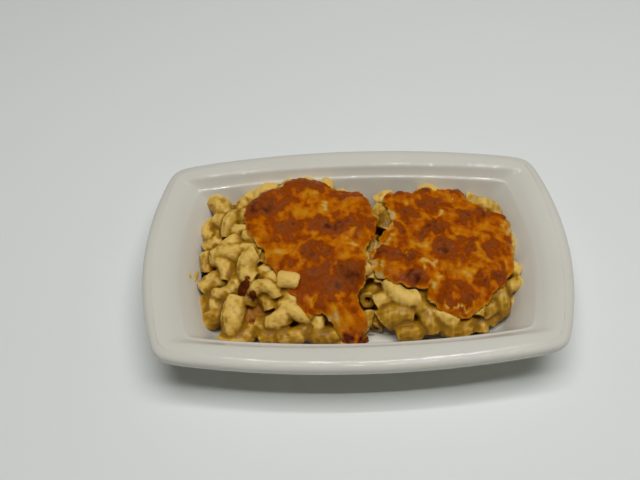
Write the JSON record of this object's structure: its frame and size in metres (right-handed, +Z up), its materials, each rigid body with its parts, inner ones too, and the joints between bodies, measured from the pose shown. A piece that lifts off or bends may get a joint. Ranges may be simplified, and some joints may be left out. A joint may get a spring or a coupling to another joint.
{
  "type": "baked macaroni and cheese in a dish",
  "caption": "Elbow macaroni in cheese sauce under browned melted cheese, two portions side by side in a rectangular glazed stoneware dish.",
  "frame": {"origin": "on the table under the middle of the dish", "axes": "+X along the dish's long side, +Y to its back, +Z up"},
  "size_m": [0.2512, 0.156, 0.0428],
  "materials": {
    "glazed_stoneware": "ivory gloss glaze",
    "sauced_macaroni": "soft cooked pasta coated with a creamy cheese sauce, low sheen",
    "browned_cheese": "melted cheese baked orange to dark brown, oily gloss"
  },
  "bodies": {
    "root": {"dish": "glazed_stoneware", "macaroni_left": "sauced_macaroni", "macaroni_right": "sauced_macaroni", "cheese_left": "browned_cheese", "cheese_right": "browned_cheese"}
  },
  "joints": []
}
